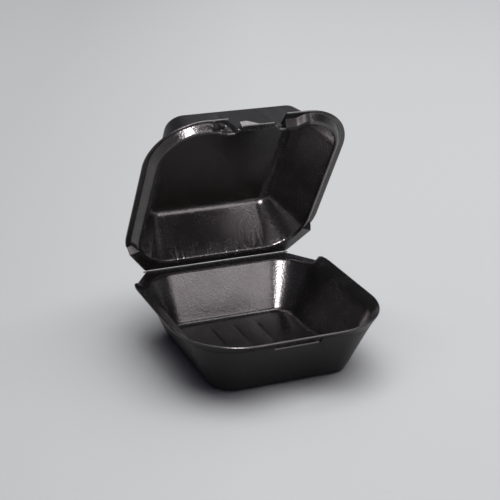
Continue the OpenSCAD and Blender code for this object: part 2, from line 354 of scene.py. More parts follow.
# %% [markdown]
# The tray's section is the sheet bent twice: up at the floor and outwards at the rim. At the back the rim
# is a flat strip instead of the sloped flange. Both could be modelled apart and joined, but as two
# sections with the same rows they share one grid, and the step between them closes by itself.

# %% Tray grid
WALL_ROWS = 9
FLANGE_ROWS = 5
SLOT_COLUMNS = 14
SIDE_COLUMNS = 7
TRAY_TURN = (0.3, 0.3)
FOLD_ROW = BEND_ROWS + WALL_ROWS
SLOT_ROWS = (FOLD_ROW - 2, FOLD_ROW + BEND_ROWS + 1)
tray_taper = [(RIM_W - FLOOR_W) / 2, RIM_FRONT - FLOOR_D / 2, RIM_BACK - FLOOR_D / 2]


def tray_section(slope, height):
    mean = mean_taper(tray_taper)
    up = math.atan2(height - SHEET, mean)
    corner = np.array([-mean, SHEET])
    lip = np.array([0, height])
    foot = bend(corner, 0, corner, up, FLOOR_FILLET)
    rim = bend(lip, up, lip, slope, RIM_ROUND)
    end = lip + along(slope) * FLANGE_W / math.cos(slope)
    slot_low = (TRAY_H - SLOT_DEEP - foot[-1][1]) / (rim[0][1] - foot[-1][1])
    slot_high = (TRAY_H + SLOT_TOP - rim[-1][1]) / (TRAY_H + FLANGE_RISE - rim[-1][1])
    wall = list(np.linspace(0, slot_low, WALL_ROWS)[1:]) + [(1 + slot_low) / 2]
    flange = list(np.linspace(0, slot_high, 3)[1:]) + list(np.linspace(slot_high, 1, 4)[1:-1])
    section = rows(foot) + mids(wall) + rows(rim) + mids(flange) + trimmed_edge(end, slope)
    section += mids([1 - f for f in reversed(flange)]) + rows(reversed(other_face(rim)))
    return section + mids([1 - w for w in reversed(wall)]) + rows(reversed(other_face(foot)))


def tray_front():
    """The tray's stations along its front, with one at each end of the slot."""
    straight = RIM_W / 2 - RIM_R
    slot_x = [-SLOT_W / 2 + SLOT_W * i / SLOT_COLUMNS for i in range(SLOT_COLUMNS + 1)]
    side_x = [straight + (SLOT_W / 2 - straight) * i / SIDE_COLUMNS for i in range(1, SIDE_COLUMNS)]
    return [(x, FLANGE, 0) for x in sorted([-x for x in side_x] + slot_x + side_x)]


tray_sections = {FLANGE: tray_section(FLANGE_SLOPE, TRAY_H), STRIP: tray_section(0.0, TRAY_H - WEB_Z)}
tray_opening = [RIM_W / 2, RIM_FRONT, RIM_BACK]
tray_stations, tray_flange_end = shell_stations(tray_opening, RIM_R, tray_front(), TRAY_TURN)
tray_edge = (RIM_W / 2 + FLANGE_W, RIM_FRONT + FRONT_W)
tray_shape = SimpleNamespace(
    opening=tray_opening, taper=tray_taper, radii=(RIM_R, FLOOR_R), edge=tray_edge, trim_r=TRAY_TRIM_R,
    strip_stop=0.0, reach=FLANGE_W, end_r=FLANGE_END_R, flange_end=tray_flange_end)
tray_grid = swept_shell(tray_sections, tray_stations, tray_shape)
print("tray grid:", tray_grid.shape)

# %% [markdown]
# The slot for the tongue is punched through the top of the front wall, which pinches its lower edge. A
# boolean cut would work, but the grid already has a row and a station on each side of the slot. So the
# faces of the window are left out on both faces of the sheet, and thin quads line the cut.

# %% Slot
SLOT_SLACK = 0.01


def slot_window(grid, stations, low, high):
    """Pinches the slot's lower edge. Returns the faces left out for the slot, and the quads that line it."""
    count, around, _ = grid.shape
    last = count - 1
    columns = [i for i, s in enumerate(stations)
               if s[0] == FRONT and abs(grid[low, i, 0]) <= SLOT_W / 2 + SLOT_SLACK]
    first, end = columns[0], columns[-1]
    inner, outer = grid[low, first:end + 1], grid[last - low, first:end + 1]
    outer += (inner - outer) * SLOT_PINCH
    skip = {(k, i) for k in range(low, high) for i in range(first, end)}
    skip |= {(last - 1 - k, i) for k, i in skip}

    def at(k, i):
        return k * around + i

    lining = []
    for i in range(first, end):
        lining.append((at(low, i + 1), at(low, i), at(last - low, i), at(last - low, i + 1)))
        lining.append((at(high, i), at(high, i + 1), at(last - high, i + 1), at(last - high, i)))
    for k in range(low, high):
        lining.append((at(k, first), at(k + 1, first), at(last - k - 1, first), at(last - k, first)))
        lining.append((at(k + 1, end), at(k, end), at(last - k, end), at(last - k - 1, end)))
    return skip, lining


slot_skip, slot_lining = slot_window(tray_grid, tray_stations, *SLOT_ROWS)
print("slot:", len(slot_skip), "faces left out,", len(slot_lining), "lining faces")

# %% [markdown]
# Three grooves are pressed into the floor. They could be a bump in the material, but real grooves catch
# the light from every side. Each is a rounded channel, and the floor is filled round their outlines.

# %% Floor and grooves
GROOVE_PITCH = 17.5
GROOVE_LEN = 74.0
GROOVE_W = 1.6
GROOVE_DEEP = 0.6
GROOVE_END = 4.0
GROOVE_RINGS = [(1.5, 0.0), (1.15, -0.12), (0.85, -0.45), (0.5, -0.85), (0.12, -1.0)]


def capsule(x, width, length, z, steps=6):
    half = length / 2 - width / 2
    turns = np.linspace(0, math.pi, steps + 1)
    top = [(x + width / 2 * math.cos(t), half + width / 2 * math.sin(t), z) for t in turns]
    return top + [(2 * x - p[0], -p[1], z) for p in top]


def groove_rings(x):
    """The outlines of one groove, from its rim down to its bottom."""
    return [capsule(x, GROOVE_W * wide, GROOVE_LEN - GROOVE_END * (GROOVE_RINGS[0][0] - wide),
                    SHEET + GROOVE_DEEP * deep) for wide, deep in GROOVE_RINGS]


def add_floor(bm, ring):
    """Fills the inner floor between its outer ring and the grooves. Returns its face count."""
    before = len(bm.faces)
    edges = [bm.edges.get((a, b)) or bm.edges.new((a, b)) for a, b in zip(ring, ring[1:] + ring[:1])]
    for i in (-1, 0, 1):
        loops = [[bm.verts.new(p) for p in outline] for outline in groove_rings(i * GROOVE_PITCH)]
        for outer, inner in zip(loops, loops[1:]):
            for a, b, c, d in zip(outer, outer[1:] + outer[:1], inner[1:] + inner[:1], inner):
                bm.faces.new((a, b, c, d))
        bm.faces.new(loops[-1])
        edges += [bm.edges.get((a, b)) for a, b in zip(loops[0], loops[0][1:] + loops[0][:1])]
    bmesh.ops.triangle_fill(bm, use_beauty=True, use_dissolve=False, edges=edges, normal=(0, 0, 1))
    return len(bm.faces) - before


print("rings in a groove:", len(GROOVE_RINGS))

# %% [markdown]
# Along the crease the sheet is rolled into a thin bead, which is a little uneven. A cylinder would look
# machined, so the bead is a tube of many rings whose radius varies by two sine waves.

# %% Bead of the crease
BEAD_SHORT = 1.2
BEAD_RINGS = 117
BEAD_SIDES = 12


def add_bead(bm):
    """The rolled bead along the crease as a closed tube."""
    turns = [2 * math.pi * i / BEAD_SIDES for i in range(BEAD_SIDES)]
    rings = []
    for x in np.linspace(BEAD_SHORT - CREASE_LEN / 2, CREASE_LEN / 2 - BEAD_SHORT, BEAD_RINGS):
        r = BEAD_R * (0.93 + 0.07 * math.sin(1.9 * x) * math.sin(0.63 * x + 1))
        rings.append([bm.verts.new((x, HINGE_Y + r * math.cos(t), TRAY_H + r * math.sin(t))) for t in turns])
    for low, high in zip(rings, rings[1:]):
        for i in range(BEAD_SIDES):
            j = (i + 1) % BEAD_SIDES
            bm.faces.new((low[i], low[j], high[j], high[i]))
    bm.faces.new(rings[0])
    bm.faces.new(list(reversed(rings[-1])))


print(f"bead: {CREASE_LEN - 2 * BEAD_SHORT:.1f} mm long")

# %% [markdown]
# The lid's wall ends in a folded ridge, with a flange behind it that comes down on the tray's edge. Near
# the crease the ridge turns into the flat strip, and at the latch the flange is cut away. The ridge could
# be a bent pipe laid on the rim, but the real one is the sheet itself, so it is part of the section.

# %% Lid sections
SKIN_ROWS = 4
NOTCH_CREST_R = 1.0
NOTCH_EDGE_R = 0.7
NOTCH_DROPS = ((1.6, 3.2, BEND_ROWS), (3.6, 4.6, EDGE_ROWS), (5.2, 7.2, BEND_ROWS))
lid_opening = [RIM_W / 2 - RIM_LAP, RIM_FRONT - RIM_LAP, RIM_BACK]
lid_taper = [lid_opening[0] - PANEL_W / 2, lid_opening[1] - PANEL_D / 2 + PANEL_BACK,
             lid_opening[2] - PANEL_D / 2 - PANEL_BACK]
lid_r = RIM_R - RIM_LAP
lid_reach = RIM_LAP + FLANGE_W - FLANGE_SHORT


def notch_rows(wall, up, height):
    """Past a notch the flange is cut away, so its rows lie close together down the wall's outer face."""
    def down_wall(drops):
        return [(wall[0] + (height - d - wall[1]) / math.tan(up), height - d) for d in drops]

    edge = down_wall([0])[0][0]
    over = bend(np.array([0, height]), 0, np.array([edge, height]), up - math.pi, NOTCH_EDGE_R)
    valley, trim, back = [rows(down_wall(np.linspace(*drops))) for drops in NOTCH_DROPS]
    skin, flange = even_mids(SKIN_ROWS), even_mids(FLANGE_ROWS)
    return rows(over) + skin + valley + flange + trim + flange + back


def lid_section(kind):
    mean = mean_taper(lid_taper)
    height = LID_H - (WEB_Z if kind == STRIP else RIDGE_Z)
    up = math.atan2(height - SHEET, mean)
    corner = np.array([-mean, SHEET])
    wall = corner + SHEET * aside(up)
    lip = np.array([0, height])
    far_lip = np.array([RIDGE_W, height])
    foot = bend(corner, 0, corner, up, PANEL_SOFT)
    outer_foot = other_face(bend(corner, 0, corner, up, PANEL_FILLET))
    crest = bend(lip, up, lip, 0, {NOTCH: NOTCH_CREST_R, STRIP: STRIP_SOFT}.get(kind, RIDGE_R))
    tail = even_mids(WALL_ROWS) + rows(reversed(outer_foot))
    section = rows(foot) + even_mids(WALL_ROWS) + rows(crest)
    if kind == NOTCH:
        return section + notch_rows(wall, up, height) + tail
    if kind == FLANGE:
        down = -math.pi / 2 + RIDGE_LEAN
        root = meet(far_lip, down, np.array([0, height - RIDGE_H]), 0)
        end = np.array([lid_reach, LID_H - FLANGE_RISE - NEST_GAP])
        slope = math.atan2(*(end - root)[::-1])
        over = bend(lip, 0, far_lip, down, RIDGE_R)
        valley = bend(root, down, root, slope, RIDGE_FOOT_R)
    else:
        end = far_lip
        slope = 0.0
        flat = [(o, height) for o in np.linspace(crest[-1][0], RIDGE_W, 2 * BEND_ROWS + 2)[1:]]
        over, valley = flat[:BEND_ROWS], flat[-BEND_ROWS:]
    back = bend(wall, up, end + SHEET * aside(slope), slope, RIDGE_R)
    section += rows(over) + even_mids(SKIN_ROWS) + rows(valley) + even_mids(FLANGE_ROWS)
    section += trimmed_edge(end, slope) + even_mids(FLANGE_ROWS)
    return section + rows(reversed(back)) + tail


lid_sections = {kind: lid_section(kind) for kind in (FLANGE, STRIP, NOTCH, TONGUE)}
print("rows in the lid's sections:", sorted({len(section) for section in lid_sections.values()}))

# %% [markdown]
# Beside the tongue the ridge steps inwards. On this container it does so in a long curve on the left and
# in a short step on the right. The step could be pushed in by hand, but as an inset at each station it
# moves the whole rim and fades out down the wall, as a press would make it.

# %% Latch stations
LATCH_CUT = 0.01
LATCH_CLEAR = 0.25
LATCH_COLUMNS = 92
LEFT_RAMP = NOTCH_END - 2
RIGHT_RAMP = STEP_FAR - 3
RAMP_END = STEP_FAR + 2 * STEP_RUN


def smooth_step(x, low, high):
    t = min(1, max(0, (x - low) / (high - low)))
    return t * t * (3 - 2 * t)


def latch_inset(x):
    """How far the ridge is pushed in at x."""
    inner = smooth_step(abs(x), STEP_NEAR, STEP_NEAR + STEP_RUN)
    return NOTCH_STEP * inner * (1 - smooth_step(abs(x), LEFT_RAMP if x < 0 else RIGHT_RAMP, RAMP_END))


def latch_kind(x):
    if abs(x) < TONGUE_W / 2:
        return TONGUE
    return NOTCH if abs(x) < NOTCH_END else FLANGE


def lid_front():
    """The lid's stations along its front, with two close together at each cut of the latch."""
    straight = lid_opening[0] - lid_r
    cuts = [TONGUE_W / 2 - LATCH_CUT, TONGUE_W / 2, NOTCH_END - LATCH_CUT, NOTCH_END]
    even = [x for x in np.linspace(-straight, straight, LATCH_COLUMNS)[1:-1]
            if min(abs(abs(x) - cut) for cut in cuts) > LATCH_CLEAR]
    return [(x, latch_kind(x), latch_inset(x)) for x in sorted(even + [-x for x in cuts] + cuts)]


print("latch: pushed in by up to", max(inset for _, _, inset in lid_front()), "mm")

# %% [markdown]
# The lid is swept like the tray, as a bowl with its opening up. Its flange runs a little past the end of
# the tray's flange and then ramps down to the flat strip. It could end as the tray's does, but when it did,
# the two ends cut into each other as the lid closed.

# %% Lid grid
LID_TURN = (-1.0, 5.5)
lid_stations, lid_flange_end = shell_stations(lid_opening, lid_r, lid_front(), LID_TURN)
lid_edge = (RIM_W / 2 + FLANGE_W - FLANGE_SHORT, RIM_FRONT + FRONT_W - FLANGE_SHORT)
lid_shape = SimpleNamespace(
    opening=lid_opening, taper=lid_taper, radii=(lid_r, PANEL_R), edge=lid_edge, trim_r=LID_TRIM_R,
    strip_stop=BEAD_R + NEST_GAP / 2, reach=lid_reach, end_r=LID_END_R, flange_end=lid_flange_end)
lid_grid = swept_shell(lid_sections, lid_stations, lid_shape)
print("lid grid:", lid_grid.shape)

# %% [markdown]
# Each grid becomes a mesh with the attributes that the finish reads. Every face has a zone: the satin
# inside, a cut edge, the dull outside, or the flat floor and panel. Every point has a share of crumple and
# of pleats. They could be painted by hand as vertex groups, but here the rows and stations already say
# where each thing is.

# %% Shell meshes
ZONES = ("Inside", "Cut", "Outside", "Flat")
INSIDE, CUT, OUTSIDE, FLAT = range(4)


def quads_round(grid, skip=()):
    """Quads between the grid's rows, all the way round, apart from those in `skip`."""
    count, around, _ = grid.shape
    quads = []
    for k in range(count - 1):
        for i in range(around):
            if (k, i) not in skip:
                j = (i + 1) % around
                quads.append((k * around + i, k * around + j, (k + 1) * around + j, (k + 1) * around + i))
    return quads


def row_ring(grid, k):
    """The face that closes the grid at row k."""
    around = grid.shape[1]
    return tuple(k * around + i for i in range(around))


def row_zones(section, faces, around):
    """The zone of every face, from the row that it starts at."""
    ends = [k for k, row in enumerate(section) if row[0] == "end"]
    zones = [INSIDE if k < ends[0] else CUT if k < ends[-1] else OUTSIDE for k in range(len(section) - 1)]
    return [zones[min(face[0] // around, len(zones) - 1)] for face in faces]


def new_shell(points, faces):
    """A new bmesh of those points and faces, and the list of its points."""
    bm = bmesh.new()
    verts = [bm.verts.new(p) for p in points]
    for face in faces:
        bm.faces.new([verts[i] for i in face])
    return bm, verts


def shell_object(name, bm, zones, crumple=(), pleat=()):
    """The bmesh as an object in metres, with its attributes. Points without a share get 0."""
    bmesh.ops.recalc_face_normals(bm, faces=bm.faces)
    for v in bm.verts:
        v.co *= MM
    mesh = bpy.data.meshes.new(name)
    bm.to_mesh(mesh)
    bm.free()
    mesh.polygons.foreach_set("use_smooth", [True] * len(mesh.polygons))
    mesh.attributes.new("zone", "INT", "FACE").data.foreach_set("value", zones)
    for label, shares in (("crumple", crumple), ("pleat", pleat)):
        values = list(shares) + [0.0] * (len(mesh.vertices) - len(shares))
        mesh.attributes.new(label, "FLOAT", "POINT").data.foreach_set("value", values)
    shell = bpy.data.objects.new(name, mesh)
    bpy.context.collection.objects.link(shell)
    print(f"{name}: {len(mesh.vertices)} points, {len(mesh.polygons)} faces")
    return shell


# %% [markdown]
# The tray is its grid, closed underneath by one face, with the slot's lining, the grooved floor and the
# bead. They could be separate objects, but the real tray is one piece of foam, so all of it is one mesh.

# %% Tray mesh
def make_tray():
    around = len(tray_stations)
    faces = quads_round(tray_grid, slot_skip) + [row_ring(tray_grid, len(tray_grid) - 1)]
    bm, verts = new_shell(tray_grid.reshape(-1, 3), faces + slot_lining)
    zones = row_zones(tray_sections[FLANGE], faces, around) + [OUTSIDE] * len(slot_lining)
    zones += [FLAT] * add_floor(bm, verts[:around])
    add_bead(bm)
    zones += [INSIDE] * (len(bm.faces) - len(zones))
    return shell_object("tray_shell", bm, zones)


tray_shell = make_tray()

# %% [markdown]
# The lid's bowl is turned over and opened about the crease. Its rim shows handling: crumpled foam beside
# the latch, mostly on the left, fine pleats where the wall bends into the strip, and a scrap of skin
# turned down at the tongue's left end. They could all have the satin skin, but at the latch's right end it
# broke up into white specks. So the worn faces there take the dull skin, and so do the flange's ends.

# %% Lid mesh
RIDGE_ROWS = (FOLD_ROW + 5, FOLD_ROW + 3 * BEND_ROWS + SKIN_ROWS + FLANGE_ROWS)
CRUMPLE_START = (NOTCH_END - 1.5, NOTCH_END + 1.5)
CRUMPLE_STOP = (30, 39)
CRUMPLE_RIGHT = 0.15
WORN = 0.02
FLAP_DROP = 0.3
FLAP_FACES = (0.1, 1.0)
FLAP_OUTLINE = [(-12.3, 0.0), (2.0, 0.0), (-7.5, -4.4), (-12.3, -4.0)]


def opened(p):
    """A point of the lid, pressed upside down, when the lid stands open at the crease."""
    y = p[1] - HINGE_Y
    z = LID_H - p[2]
    return (p[0], HINGE_Y + y * math.cos(LID_OPEN) + z * math.sin(LID_OPEN),
            TRAY_H - y * math.sin(LID_OPEN) + z * math.cos(LID_OPEN))


def add_flap(bm):
    """The scrap of skin at the left end of the tongue. Returns its face count."""
    before = len(bm.faces)
    top = LID_H - RIDGE_Z - FLAP_DROP
    front = -lid_opening[1] - TONGUE_OUT
    near, far = [[bm.verts.new(opened((x, front + deep, top + z))) for x, z in FLAP_OUTLINE]
                 for deep in FLAP_FACES]
    bm.faces.new(near)
    bm.faces.new(list(reversed(far)))
    for a, b, c, d in zip(near, near[1:] + near[:1], far[1:] + far[:1], far):
        bm.faces.new((a, d, c, b))
    return len(bm.faces) - before


def crumple_at(k, station, x):
    """The share of crumple on the ridge and its valley beside the latch."""
    if station[0] != FRONT or not RIDGE_ROWS[0] <= k <= RIDGE_ROWS[1]:
        return 0.0
    near = smooth_step(abs(x), *CRUMPLE_START) * (1 - smooth_step(abs(x), *CRUMPLE_STOP))
    return near if x < 0 else near * CRUMPLE_RIGHT


def pleat_at(k, station):
    """The share of pleats where the wall bends into the flat strip."""
    if station[3] != STRIP:
        return 0.0
    return smooth_step(k, FOLD_ROW - 4, FOLD_ROW) * (1 - smooth_step(k, FOLD_ROW + 7, FOLD_ROW + 10))


def lid_zones(faces, crumple):
    """The zone of every face of the lid."""
    around = len(lid_stations)
    kinds = [s[3] for s in lid_stations]
    turns = {i for i in range(around) if {kinds[i], kinds[(i + 1) % around]} == {FLANGE, STRIP}}
    zones = row_zones(lid_sections[FLANGE], faces, around)
    for n, face in enumerate(faces):
        k, i = divmod(face[0], around)
        worn = zones[n] == INSIDE and crumple[face[0]] > WORN and lid_grid[k, i, 0] > 0
        if worn or (i in turns and k >= RIDGE_ROWS[0]):
            zones[n] = OUTSIDE
    zones[-2:] = [FLAT, OUTSIDE]
    return zones


def make_lid():
    count = len(lid_grid)
    panel = tuple(reversed(row_ring(lid_grid, 0)))
    faces = quads_round(lid_grid) + [panel, row_ring(lid_grid, count - 1)]
    places = [(k, i, s) for k in range(count) for i, s in enumerate(lid_stations)]
    crumple = [crumple_at(k, s, lid_grid[k, i, 0]) for k, i, s in places]
    pleat = [pleat_at(k, s) for k, _, s in places]
    bm, _ = new_shell([opened(p) for p in lid_grid.reshape(-1, 3)], faces)
    zones = lid_zones(faces, crumple) + [INSIDE] * add_flap(bm)
    return shell_object("lid_shell", bm, zones, crumple, pleat)


lid_shell = make_lid()

# %% [markdown]
# Nodes make both the finish and the materials. They could be wired by hand in the editor, but a script
# wires them the same way each time.

# %% Node helpers
def node(tree, kind, **values):
    made = tree.nodes.new(kind)
    for key, value in values.items():
        setattr(made, key, value)
    return made


def math_node(tree, operation, a, b):
    made = node(tree, "ShaderNodeMath", operation=operation)
    for socket, value in zip(made.inputs, (a, b)):
        if isinstance(value, (int, float)):
            socket.default_value = value
        else:
            tree.links.new(value, socket)
    return made.outputs[0]


def graded(tree, value, start, end, first, last):
    """A value that goes from `first` at `start` to `last` at `end`."""
    made = node(tree, "ShaderNodeMapRange")
    for label, number in zip(("From Min", "From Max", "To Min", "To Max"), (start, end, first, last)):
        made.inputs[label].default_value = number
    tree.links.new(value, made.inputs["Value"])
    return made.outputs[0]


# %% [markdown]
# Foam isn't perfectly smooth: its walls wave a little, the rim is crumpled where it was handled, and the
# fold along the crease gathers in fine pleats. Sculpting would do, but couldn't be repeated. A Geometry
# Nodes tree moves the points along their normals by seeded noise instead, so the same rule finishes both
# shells.

# %% Finish tree
DEPTHS = ("Wave depth", "Crumple depth", "Pleat depth")
WAVES_PER_METRE = 38.0
CRUMPLES_PER_METRE = 170.0
PLEATS_PER_METRE = 600.0
PLEAT_STRETCH = (1.0, 0.15, 0.15)


def noise_value(tree, position, scale, seed, detail):
    """Seeded noise between about -0.5 and 0.5."""
    noise = node(tree, "ShaderNodeTexNoise", noise_dimensions="4D")
    tree.links.new(position, noise.inputs["Vector"])
    tree.links.new(seed, noise.inputs["W"])
    noise.inputs["Scale"].default_value = scale
    noise.inputs["Detail"].default_value = detail
    return math_node(tree, "SUBTRACT", noise.outputs[0], 0.5)


def named_attribute(tree, name, kind):
    made = node(tree, "GeometryNodeInputNamedAttribute", data_type=kind)
    made.inputs["Name"].default_value = name
    return made.outputs["Attribute"]


def push_depth(tree, enter):
    """How far a point moves: waves everywhere, crumple and pleats by their shares."""
    position = node(tree, "GeometryNodeInputPosition").outputs[0]
    seed = enter.outputs["Seed"]
    across = node(tree, "ShaderNodeVectorMath", operation="MULTIPLY")
    across.inputs[1].default_value = PLEAT_STRETCH
    tree.links.new(position, across.inputs[0])
    wave = noise_value(tree, position, WAVES_PER_METRE, seed, 2.0)
    wave = math_node(tree, "MULTIPLY", wave, enter.outputs["Wave depth"])
    fold = noise_value(tree, position, CRUMPLES_PER_METRE, seed, 3.0)
    fold = math_node(tree, "MULTIPLY", fold, enter.outputs["Crumple depth"])
    fold = math_node(tree, "MULTIPLY", fold, named_attribute(tree, "crumple", "FLOAT"))
    gather = noise_value(tree, across.outputs[0], PLEATS_PER_METRE, seed, 1.0)
    gather = math_node(tree, "MULTIPLY", gather, enter.outputs["Pleat depth"])
    gather = math_node(tree, "MULTIPLY", gather, named_attribute(tree, "pleat", "FLOAT"))
    return math_node(tree, "ADD", math_node(tree, "ADD", wave, fold), gather)


def paint_zones(tree, enter, last):
    """Gives each zone's faces the material of that zone."""
    zone = named_attribute(tree, "zone", "INT")
    for value, label in enumerate(ZONES):
        pick = node(tree, "FunctionNodeCompare", data_type="INT", operation="EQUAL")
        tree.links.new(zone, pick.inputs[2])
        pick.inputs[3].default_value = value
        paint = node(tree, "GeometryNodeSetMaterial")
        tree.links.new(last.outputs[0], paint.inputs["Geometry"])
        tree.links.new(pick.outputs[0], paint.inputs["Selection"])
        tree.links.new(enter.outputs[label], paint.inputs["Material"])
        last = paint
    return last


def foam_tree():
    tree = bpy.data.node_groups.new("pressed_foam", "GeometryNodeTree")
    tree.interface.new_socket("Geometry", in_out="INPUT", socket_type="NodeSocketGeometry")
    for label in (*DEPTHS, "Seed"):
        tree.interface.new_socket(label, in_out="INPUT", socket_type="NodeSocketFloat")
    for label in ZONES:
        tree.interface.new_socket(label, in_out="INPUT", socket_type="NodeSocketMaterial")
    tree.interface.new_socket("Geometry", in_out="OUTPUT", socket_type="NodeSocketGeometry")
    enter = node(tree, "NodeGroupInput")
    leave = node(tree, "NodeGroupOutput")
    push = node(tree, "ShaderNodeVectorMath", operation="SCALE")
    tree.links.new(node(tree, "GeometryNodeInputNormal").outputs[0], push.inputs[0])
    tree.links.new(push_depth(tree, enter), push.inputs["Scale"])
    move = node(tree, "GeometryNodeSetPosition")
    tree.links.new(enter.outputs["Geometry"], move.inputs["Geometry"])
    tree.links.new(push.outputs[0], move.inputs["Offset"])
    real = node(tree, "GeometryNodeRealizeInstances")
    tree.links.new(move.outputs[0], real.inputs[0])
    tree.links.new(paint_zones(tree, enter, real).outputs[0], leave.inputs[0])
    return tree


finish_tree = foam_tree()
print("finish tree:", len(finish_tree.nodes), "nodes")

# %% [markdown]
# The skin of pressed foam shows its cells: tiny dimples, each with its own tilt, that glint where the
# light falls on them. They could be real dents, but thousands of them are too many faces. One shader group
# makes them for all four materials. It gives the height for a bump and a tone that changes from cell to
# cell.

# %% Foam cells
def foam_cells_group():
    group = bpy.data.node_groups.new("foam_cells", "ShaderNodeTree")
    group.interface.new_socket("Cells per metre", in_out="INPUT", socket_type="NodeSocketFloat")
    group.interface.new_socket("Height", in_out="OUTPUT", socket_type="NodeSocketFloat")
    group.interface.new_socket("Tone", in_out="OUTPUT", socket_type="NodeSocketFloat")
    enter = node(group, "NodeGroupInput")
    leave = node(group, "NodeGroupOutput")
    where = node(group, "ShaderNodeTexCoord").outputs["Object"]
    cells = node(group, "ShaderNodeTexVoronoi", feature="SMOOTH_F1")
    cells.inputs["Smoothness"].default_value = 0.6
    blotch = node(group, "ShaderNodeTexNoise")
    blotch.inputs["Detail"].default_value = 3.0
    fine = node(group, "ShaderNodeTexNoise")
    fine.inputs["Detail"].default_value = 2.0
    for made, share in ((cells, 1.0), (blotch, 0.09), (fine, 1.7)):
        group.links.new(where, made.inputs["Vector"])
        group.links.new(math_node(group, "MULTIPLY", enter.outputs[0], share), made.inputs["Scale"])
    grit = math_node(group, "MULTIPLY", fine.outputs[0], 0.8)
    group.links.new(math_node(group, "ADD", cells.outputs["Distance"], grit), leave.inputs["Height"])
    tone = math_node(group, "ADD", math_node(group, "MULTIPLY", fine.outputs[0], 0.6),
                     math_node(group, "MULTIPLY", blotch.outputs[0], 0.4))
    group.links.new(tone, leave.inputs["Tone"])
    return group


foam_cells = foam_cells_group()
print("foam cells:", len(foam_cells.nodes), "nodes")

# %% [markdown]
# Four black finishes share those cells. The inside has a satin skin, the floor and the panel are smoother,
# the outside is dull, and the cut edges lie between. One plain black would do from far away, but the gloss
# and the thin coat that follow the cells' tone give the foam its glints.

# %% Foam materials
TONE_RANGE = (0.38, 0.62)
GLINT_TINT = (1.0, 0.93, 0.945)
COAT_ROUGHNESS = 0.25


def foam_material(name, dark, light, rough, shine, gleam, cells_per_metre, depth):
    """Black foam: `dark` to `light` colour, `rough` (low, high) and `gleam` follow the cells' tone."""
    material = bpy.data.materials.new(name)
    material.use_nodes = True
    tree = material.node_tree
    shader = tree.nodes["Principled BSDF"]
    shader.inputs["Specular IOR Level"].default_value = shine
    shader.inputs["Specular Tint"].default_value = (*GLINT_TINT, 1)
    shader.inputs["Coat Roughness"].default_value = COAT_ROUGHNESS
    cells = node(tree, "ShaderNodeGroup", node_tree=foam_cells)
    cells.inputs[0].default_value = cells_per_metre
    tone = cells.outputs["Tone"]
    colour = node(tree, "ShaderNodeMix", data_type="RGBA")
    colour.inputs["A"].default_value = (*dark, 1)
    colour.inputs["B"].default_value = (*light, 1)
    tree.links.new(tone, colour.inputs["Factor"])
    tree.links.new(colour.outputs["Result"], shader.inputs["Base Color"])
    tree.links.new(graded(tree, tone, *TONE_RANGE, *rough), shader.inputs["Roughness"])
    if gleam:
        tree.links.new(graded(tree, tone, *TONE_RANGE, 0.0, gleam), shader.inputs["Coat Weight"])
    dimple = node(tree, "ShaderNodeBump")
    dimple.inputs["Distance"].default_value = depth
    tree.links.new(cells.outputs["Height"], dimple.inputs["Height"])
    tree.links.new(dimple.outputs[0], shader.inputs["Normal"])
    return material


satin_skin = foam_material("satin_skin", dark=(0.001, 0.001, 0.0009), light=(0.006, 0.0058, 0.0052),
                           rough=(0.18, 0.28), shine=0.8, gleam=0.8, cells_per_metre=760, depth=0.0001)
outer_skin = foam_material("outer_skin", dark=(0.001, 0.001, 0.0011), light=(0.003, 0.003, 0.0033),
                           rough=(0.36, 0.48), shine=0.35, gleam=0.0, cells_per_metre=1300, depth=0.00005)
cut_edge = foam_material("cut_edge", dark=(0.001, 0.001, 0.001), light=(0.006, 0.006, 0.006),
                         rough=(0.22, 0.34), shine=0.9, gleam=0.3, cells_per_metre=1500, depth=0.00005)
flat_skin = foam_material("flat_skin", dark=(0.001, 0.001, 0.0009), light=(0.008, 0.0078, 0.0068),
                          rough=(0.14, 0.22), shine=0.7, gleam=0.5, cells_per_metre=1300, depth=0.00006)
print("materials:", satin_skin.name, outer_skin.name, cut_edge.name, flat_skin.name)

# %% [markdown]
# The tree's inputs are set on each shell by their identifiers, and the result is kept as a plain mesh. A
# live modifier would look the same here, but a plain mesh also looks right where the part is used again.
# Then each shell takes the place of its CAD solid and rides on that solid's body.

# %% Finished shells
SEEDS = {"tray": 2.0, "lid": 7.0}
SHARP_EDGE = math.radians(40)
FINISH = dict(zip(DEPTHS, (0.00018, 0.0036, 0.001)))
FINISH.update(zip(ZONES, (satin_skin, cut_edge, outer_skin, flat_skin)))


def set_inputs(modifier, values):
    labels = {item.name: item.identifier for item in modifier.node_group.interface.items_tree
              if item.in_out == "INPUT"}
    for label, value in values.items():
        modifier[labels[label]] = value


def finish_shell(shell, body):
    shell.data.materials.append(satin_skin)
    modifier = shell.modifiers.new("finish", "NODES")
    modifier.node_group = finish_tree
    set_inputs(modifier, {**FINISH, "Seed": SEEDS[body]})
    graph = bpy.context.evaluated_depsgraph_get()
    mesh = bpy.data.meshes.new_from_object(shell.evaluated_get(graph))
    shell.modifiers.clear()
    shell.data = mesh
    mesh.set_sharp_from_angle(angle=SHARP_EDGE)
    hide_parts(body)
    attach(shell, body)
    low = np.min([v.co for v in mesh.vertices], axis=0)
    high = np.max([v.co for v in mesh.vertices], axis=0)
    print(body, "materials:", [m.name for m in mesh.materials], "size mm:", np.round((high - low) / MM, 1))


finish_shell(tray_shell, "tray")
finish_shell(lid_shell, "lid")

# %% [markdown]
# The table is one pale, slightly cool plane that fills the picture. Its colour carries a painted shade: it
# is a little darker to the left and towards the back, where the light falls off. A curved studio backdrop
# would hide the horizon, but a plane keeps every side free. So the far table goes over into the pale colour
# of the backdrop, for what is seen and not for the light that it sheds.

# %% Table
PALE = (0.40, 0.403, 0.41)
TABLE_SIZE = 8.0
# The table's base colour is a painted shade: darker to the left and towards the back, lighter to the front
# right.
TABLE_PAINTED_SHADE = (0.42, 0.423, 0.426)
TABLE_PAINTED_LIT = (0.495, 0.499, 0.502)
PAINTED_SHADE_SLOPE = (3.6, -1.6, 0.0)
TABLE_FADE = (1.35, 3.0)


